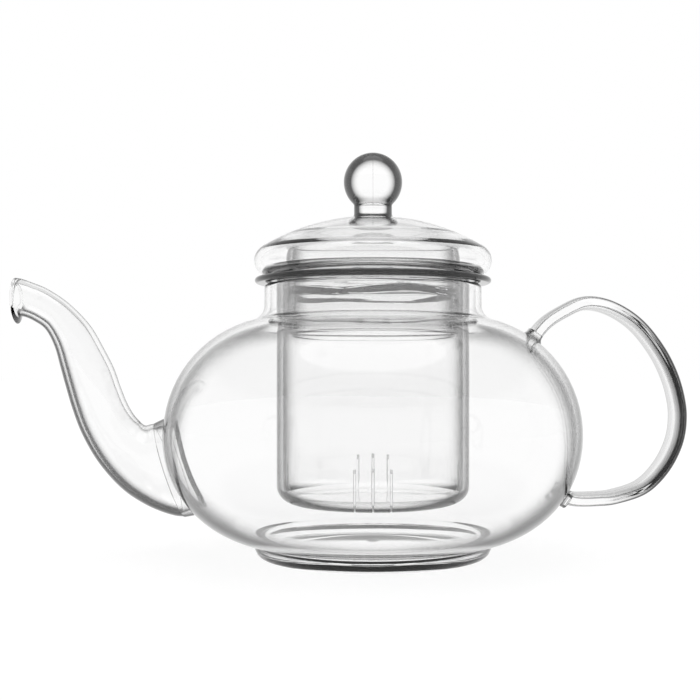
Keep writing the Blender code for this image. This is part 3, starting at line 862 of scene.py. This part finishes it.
bore = PLUG_RADIUS - PLUG_WALL
lip_round = PLUG_WALL / 2
plug_outline = arc((PLUG_RADIUS - lip_round, plug_low.z + lip_round), lip_round, 180, 360)
plug_outline += [
    (PLUG_RADIUS, dome_height(PLUG_RADIUS, LID_WALL - FUSED)),
    (bore, dome_height(bore, LID_WALL - FUSED)),
]
for step in range(BEAD_STEPS + 1):
    across = 1 - 2 * step / BEAD_STEPS
    bead = BEAD_PROUD * (0.5 + 0.5 * math.cos(math.pi * across))
    plug_outline.append((bore - bead, BEAD_HEIGHT + BEAD_SPAN / 2 * across))
plug = turned("lid_tube", plug_outline)
for vertex in plug.data.vertices:
    spot = vertex.co
    radius = math.hypot(spot.x, spot.y)
    if radius < bore - BEAD_STILL:
        angle = math.atan2(spot.y, spot.x)
        share = 1 - BEAD_UNEVEN + BEAD_UNEVEN * math.sin(3 * angle + 1.0) * math.cos(5 * angle)
        slide = (bore - (bore - radius) * share) / radius
        stray = BEAD_WANDER * math.sin(4 * angle)
        vertex.co = (spot.x * slide, spot.y * slide, spot.z + stray)


def plug_painted_shade(spot):
    """Painted shade: the bead is darker than the tube."""
    return BEAD_PAINTED_SHADE if math.hypot(spot.x, spot.y) < bore - BEAD_EDGE else 0.0


paint_shade(plug, plug_painted_shade)

# Tube that was reheated to join it has shorter waves than fresh tube. Its painted shade comes a
# little sooner.
joined_glass = clear_glass("lid tube glass", "#fcfcfc", "#0c0c0c", (0.35, 0.8), (40, 12), 0.04)
place(plug, "lid", "lid_plug", "lid_glass", joined_glass)

# ---------------------------------------------------------------- lid knob
# A solid ball on a short stem, melted onto the middle of the dome. The ball is a lens: it shows
# a bright upside-down view of the room, and the dark ring round it is painted shade, deepened a
# little by the darker room that the ball bends in.

knob_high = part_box("lid_knob")[1]
KNOB_RADIUS = 9.75 * MM
STEM_RADIUS = 6.3 * MM
STEM_FLARE = 1.6 * MM
STEM_STEPS = 8
BALL_STEPS = 90

# A ball melted round in the flame has the smoothest skin, with next to no waves. Its painted
# shade starts early, which gives the wide dark ring.
ball_glass = clear_glass("solid glass ball", "#fdfdfd", "#0c0c0c", (0.12, 0.36), (40, 40), 0.01)

ball_height = knob_high.z - KNOB_RADIUS
join = math.degrees(math.asin(STEM_RADIUS / KNOB_RADIUS))
stem_foot = STEM_RADIUS + STEM_FLARE
stem_radii = [stem_foot * step / STEM_STEPS for step in range(STEM_STEPS + 1)]
knob_outline = [(radius, dome_height(radius) - FUSED) for radius in stem_radii]
knob_outline += arc((stem_foot, knob_outline[-1][1] + STEM_FLARE), STEM_FLARE, -90, -180)
knob_outline += arc((0.0, ball_height), KNOB_RADIUS, join - 90, 90, BALL_STEPS)
knob_outline[-1] = (0.0, knob_high.z)
knob = turned("ball_knob", softened(knob_outline, closed=False))
place(knob, "lid", "lid_knob", "knob_glass", ball_glass)

# ---------------------------------------------------------------- table, light and camera
# A plain white light table, which glows evenly under its paper, in a soft white room: bright
# all round at table height, a little darker higher up, with a large soft light above.

TABLE_HALF = 6.0
TABLE_HEIGHT = -0.1 * MM  # just under the foot, so that the two faces don't coincide
SKY_BANDS = ((0.42, 1.0), (0.58, 0.7), (0.8, 0.7), (0.94, 1.0))  # (share of the way up, light)
SENSOR_WIDTH = 36.0
LENS_LENGTH = 59.143
CAMERA_BACK = 383 * MM
CAMERA_HEIGHT = 61.5 * MM
GLASS_BOUNCES = 40  # light crosses many skins of glass here
CLEAR_BOUNCES = 60

table_mesh = bpy.data.meshes.new("table")
table_corners = ((-1, -1), (1, -1), (1, 1), (-1, 1))
corners = [(x * TABLE_HALF, y * TABLE_HALF, TABLE_HEIGHT) for x, y in table_corners]
table_mesh.from_pydata(corners, [], [(0, 1, 2, 3)])
table = bpy.data.objects.new("table", table_mesh)
bpy.context.scene.collection.objects.link(table)

# Matt white paper over a lit table: an even glow, and just enough plain paper for the faintest
# shadow.
paper = bpy.data.materials.new("white paper")
paper.use_nodes = True
paper.node_tree.nodes.clear()
glow = add_node(paper.node_tree, "ShaderNodeEmission", {"Strength": 0.78})
sheet = add_node(paper.node_tree, "ShaderNodeBsdfDiffuse", {"Color": linear("#8c8c8c")})
lit = add_node(paper.node_tree, "ShaderNodeAddShader")
paper.node_tree.links.new(glow.outputs[0], lit.inputs[0])
paper.node_tree.links.new(sheet.outputs[0], lit.inputs[1])
add_node(paper.node_tree, "ShaderNodeOutputMaterial", None, {"Surface": lit.outputs[0]})
table_mesh.materials.append(paper)

room = bpy.data.worlds.new("soft room")
bpy.context.scene.world = room
room.use_nodes = True
room.node_tree.nodes.clear()
way = add_node(room.node_tree, "ShaderNodeTexCoord")
split = add_node(room.node_tree, "ShaderNodeSeparateXYZ", None, {"Vector": way.outputs["Generated"]})
bands = add_node(room.node_tree, "ShaderNodeValToRGB", None, {"Fac": split.outputs["Z"]})
ramp = bands.color_ramp
ramp.interpolation = "EASE"
for up, level in SKY_BANDS:
    ramp.elements.new(up).color = (level, level, level, 1.0)
ramp.elements[0].color = (1.0, 1.0, 1.0, 1.0)
sky = add_node(
    room.node_tree, "ShaderNodeBackground", {"Strength": 1.0}, {"Color": bands.outputs["Color"]}
)
add_node(room.node_tree, "ShaderNodeOutputWorld", None, {"Surface": sky.outputs[0]})

lamp = bpy.data.lights.new("soft light", "SUN")
lamp.energy = 0.4
lamp.angle = math.radians(50)
soft_light = bpy.data.objects.new("soft light", lamp)
bpy.context.scene.collection.objects.link(soft_light)

lens = bpy.data.cameras.new("camera")
lens.sensor_width = SENSOR_WIDTH
lens.lens = LENS_LENGTH
# The horizon lies a little below the picture's middle, and the pot's axis a little right of it.
lens.shift_x = -0.03286
lens.shift_y = 0.02857
lens.clip_start = 0.01
camera = bpy.data.objects.new("camera", lens)
camera.location = (0.0, -CAMERA_BACK, CAMERA_HEIGHT)
camera.rotation_euler = (math.radians(90), 0.0, 0.0)
bpy.context.scene.collection.objects.link(camera)
bpy.context.scene.camera = camera
bpy.context.scene.view_settings.view_transform = "Standard"
bpy.context.scene.cycles.max_bounces = GLASS_BOUNCES
bpy.context.scene.cycles.transmission_bounces = GLASS_BOUNCES
bpy.context.scene.cycles.transparent_max_bounces = CLEAR_BOUNCES
